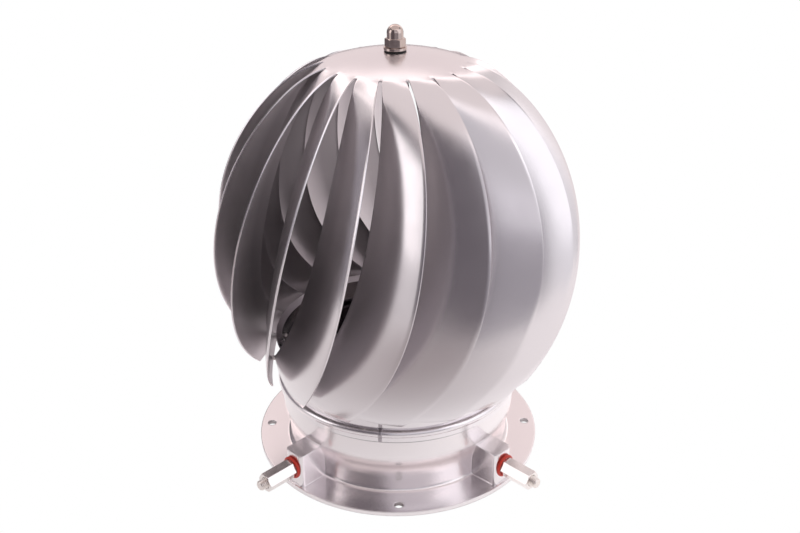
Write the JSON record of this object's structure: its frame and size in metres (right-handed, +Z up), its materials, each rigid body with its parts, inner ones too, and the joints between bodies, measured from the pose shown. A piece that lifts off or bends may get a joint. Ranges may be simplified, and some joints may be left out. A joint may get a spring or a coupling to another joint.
{
  "type": "rotating chimney cowl",
  "caption": "Rotating chimney cowl: globe of curved aluminium vanes pressed from the same sheet as the domed crown, turning on a flanged collar with studded bosses.",
  "frame": {"origin": "middle of the flange's underside, on the axis the rotor turns about", "axes": "+Z up along the axis, front towards -Y"},
  "size_m": [0.2764, 0.2778, 0.3369],
  "materials": {
    "cast_aluminium": "satin",
    "sheet_aluminium": "polished",
    "rivet_aluminium": "satin",
    "turned_aluminium": "turned",
    "zinc_steel": "satin",
    "stainless_steel": "polished",
    "bearing_steel": "ground",
    "red_silicone": "satin",
    "black_rubber": "matte"
  },
  "bodies": {
    "base": {"base_casting": "cast_aluminium", "bearing_hub": "turned_aluminium", "stud_1": "zinc_steel", "stud_2": "zinc_steel", "stud_3": "zinc_steel", "stud_4": "zinc_steel", "long_nut_1": "zinc_steel", "long_nut_2": "zinc_steel", "long_nut_3": "zinc_steel", "long_nut_4": "zinc_steel", "stud_seal_1": "red_silicone", "stud_seal_2": "red_silicone", "stud_seal_3": "red_silicone", "stud_seal_4": "red_silicone", "lower_bearing_outer_ring": "bearing_steel", "upper_bearing_outer_ring": "bearing_steel", "lower_bearing_shields": "bearing_steel", "upper_bearing_shields": "bearing_steel"},
    "rotor": {"rotor_shell": "sheet_aluminium", "rotor_ring": "sheet_aluminium", "vane_rivets": "rivet_aluminium", "spindle": "bearing_steel", "spindle_clip": "bearing_steel", "lower_bearing_inner_ring": "bearing_steel", "upper_bearing_inner_ring": "bearing_steel", "lower_bearing_balls": "bearing_steel", "upper_bearing_balls": "bearing_steel", "backing_washer": "zinc_steel", "top_seal": "black_rubber", "top_washer": "stainless_steel", "dome_nut": "stainless_steel"}
  },
  "joints": [
    {"name": "rotor_spin", "type": "hinge", "parent": "base", "child": "rotor", "pos_m": [0, 0, 0.1], "axis": [0, 0, 1], "continuous": true}
  ]
}
